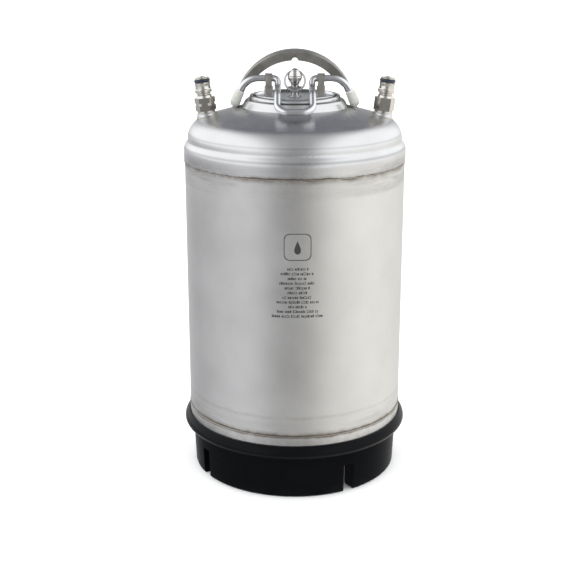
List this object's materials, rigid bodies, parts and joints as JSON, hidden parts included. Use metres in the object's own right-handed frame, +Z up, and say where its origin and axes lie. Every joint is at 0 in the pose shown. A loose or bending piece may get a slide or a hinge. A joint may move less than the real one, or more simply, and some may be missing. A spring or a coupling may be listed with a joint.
{
  "type": "ball lock beverage keg",
  "caption": "Tall stainless beverage keg with a rubber boot, strap handle, oval lid closed by a hinged wire bail, relief valve and two quick-connect posts.",
  "frame": {"origin": "on the floor under the middle of the keg, at the keg's own axis", "axes": "+Z up along the keg, -Y toward the front where the bail lever lies, +X toward the liquid post"},
  "size_m": [0.2278, 0.2278, 0.42],
  "materials": {
    "shell_steel": "drawn stainless, fine brushed grain",
    "head_steel": "pressed stainless, semi bright",
    "strap_steel": "satin stainless strip",
    "post_steel": "turned stainless",
    "tube_steel": "drawn stainless tube",
    "lid_steel": "pressed stainless, bright",
    "valve_steel": "polished stainless",
    "bail_steel": "drawn stainless rod, bright",
    "spring_steel": "stainless wire",
    "boot_rubber": "moulded black rubber, semi matt",
    "dark_rubber": "smooth dark rubber",
    "print_ink": "thin printed ink",
    "foot_rubber": "pale translucent dipped rubber"
  },
  "bodies": {
    "keg": {"side_shell": "shell_steel", "upper_head": "head_steel", "lower_head": "head_steel", "rubber_boot": "boot_rubber", "carry_handle": "strap_steel", "gas_post_boss": "head_steel", "liquid_post_boss": "head_steel", "gas_post": "post_steel", "liquid_post": "post_steel", "gas_post_o_ring": "dark_rubber", "liquid_post_o_ring": "dark_rubber", "gas_poppet_spring": "spring_steel", "liquid_poppet_spring": "spring_steel", "gas_dip_tube": "tube_steel", "liquid_dip_tube": "tube_steel", "gas_dip_tube_o_ring": "dark_rubber", "liquid_dip_tube_o_ring": "dark_rubber"},
    "lid": {"lid_plate": "lid_steel", "lid_gasket": "dark_rubber", "bail_bracket_left": "lid_steel", "bail_bracket_right": "lid_steel", "relief_bush": "lid_steel", "relief_body": "valve_steel", "relief_spring": "spring_steel"},
    "bail": {"bail_wire": "bail_steel", "bail_foot_left": "foot_rubber", "bail_foot_right": "foot_rubber"},
    "relief_plunger": {"relief_stem": "valve_steel", "relief_cap": "valve_steel", "relief_seal": "dark_rubber"},
    "pull_ring": {"pull_ring": "spring_steel"},
    "gas_poppet": {"gas_poppet": "post_steel", "gas_poppet_seal": "dark_rubber"},
    "liquid_poppet": {"liquid_poppet": "post_steel", "liquid_poppet_seal": "dark_rubber"}
  },
  "joints": [
    {"name": "lid_drop", "type": "slide", "parent": "keg", "child": "lid", "axis": [0, 0, -1], "range_m": [0, 0.008]},
    {"name": "bail_lever", "type": "hinge", "parent": "lid", "child": "bail", "pos_m": [0, 0, 0.3945], "axis": [-1, 0, 0], "range_deg": [0, 112]},
    {"name": "relief_pull", "type": "slide", "parent": "lid", "child": "relief_plunger", "axis": [0, 0, 1], "range_m": [0, 0.0025], "stiffness_N_per_m": 2000, "springref_m": -0.004, "deforming": ["relief_spring"]},
    {"name": "ring_swing", "type": "hinge", "parent": "relief_plunger", "child": "pull_ring", "pos_m": [0, 0, 0.40155], "axis": [-1, 0, 0], "range_deg": [0, 160]},
    {"name": "gas_poppet_press", "type": "slide", "parent": "keg", "child": "gas_poppet", "axis": [0.1219, 0, -0.9925], "range_m": [0, 0.003], "stiffness_N_per_m": 1500, "springref_m": -0.004, "deforming": ["gas_poppet_spring"]},
    {"name": "liquid_poppet_press", "type": "slide", "parent": "keg", "child": "liquid_poppet", "axis": [-0.1219, 0, -0.9925], "range_m": [0, 0.003], "stiffness_N_per_m": 1500, "springref_m": -0.004, "deforming": ["liquid_poppet_spring"]}
  ],
  "couplings": [
    {"joint": "lid_drop", "follows": "bail_lever", "m_per_rad": 0.004}
  ]
}
